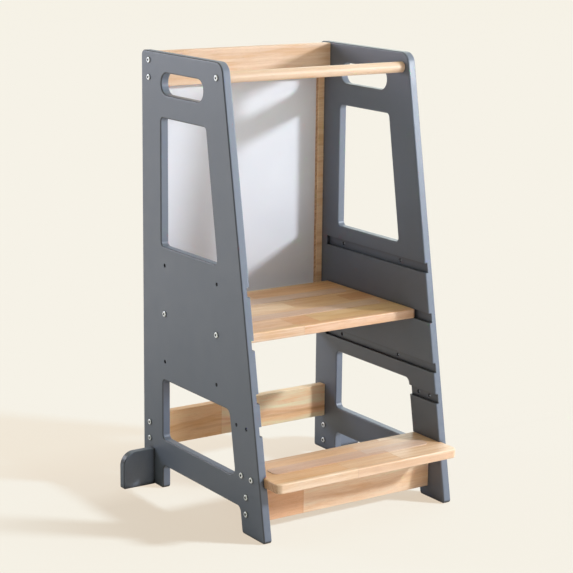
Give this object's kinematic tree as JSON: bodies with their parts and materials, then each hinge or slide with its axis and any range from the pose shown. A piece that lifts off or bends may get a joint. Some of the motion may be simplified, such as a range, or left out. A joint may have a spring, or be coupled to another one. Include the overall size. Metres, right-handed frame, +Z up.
{
  "type": "toddler kitchen helper stool",
  "caption": "Free-standing toddler step-up tower: tapered painted side panels with windows, timber rails, adjustable platform and step, grab bar and closed back.",
  "frame": {"origin": "on the floor, under the centre of the bounding box", "axes": "+Z up; -Y is the open front with the entry step; +Y is the closed back; +X is the right side seen from the front"},
  "size_m": [0.599, 0.494, 0.9],
  "materials": {
    "grey_paint": "satin blue-grey paint on board",
    "rail_wood": "clear satin lacquer on light solid wood",
    "bar_wood": "clear satin lacquer on a turned dowel",
    "board_wood": "clear satin lacquer on finger-jointed staves",
    "white_panel": "smooth white coated board",
    "grip_strip": "frosted translucent anti-slip strip",
    "bolt_steel": "zinc plated",
    "insert_brass": "plain"
  },
  "bodies": {
    "root": {"left_side_panel": "grey_paint", "right_side_panel": "grey_paint", "top_back_rail": "rail_wood", "grab_bar": "bar_wood", "lower_back_rail": "rail_wood", "lower_front_rail": "rail_wood", "platform_board": "board_wood", "step_board": "board_wood", "back_panel": "white_panel", "left_back_batten": "rail_wood", "right_back_batten": "rail_wood", "left_outrigger": "grey_paint", "right_outrigger": "grey_paint", "platform_grip_strip_rear": "grip_strip", "platform_grip_strip_front": "grip_strip", "step_grip_strip": "grip_strip", "top_rail_bolts": "bolt_steel", "grab_bar_bolts": "bolt_steel", "platform_bolts": "bolt_steel", "step_bolts": "bolt_steel", "lower_back_rail_bolts": "bolt_steel", "lower_front_rail_bolts": "bolt_steel", "outrigger_bolts": "bolt_steel", "top_rail_inserts": "insert_brass", "grab_bar_inserts": "insert_brass", "platform_inserts": "insert_brass", "step_inserts": "insert_brass", "lower_back_rail_inserts": "insert_brass", "lower_front_rail_inserts": "insert_brass", "outrigger_inserts": "insert_brass", "batten_screws": "bolt_steel", "back_panel_screws": "bolt_steel", "batten_plugs": "rail_wood"}
  },
  "joints": []
}
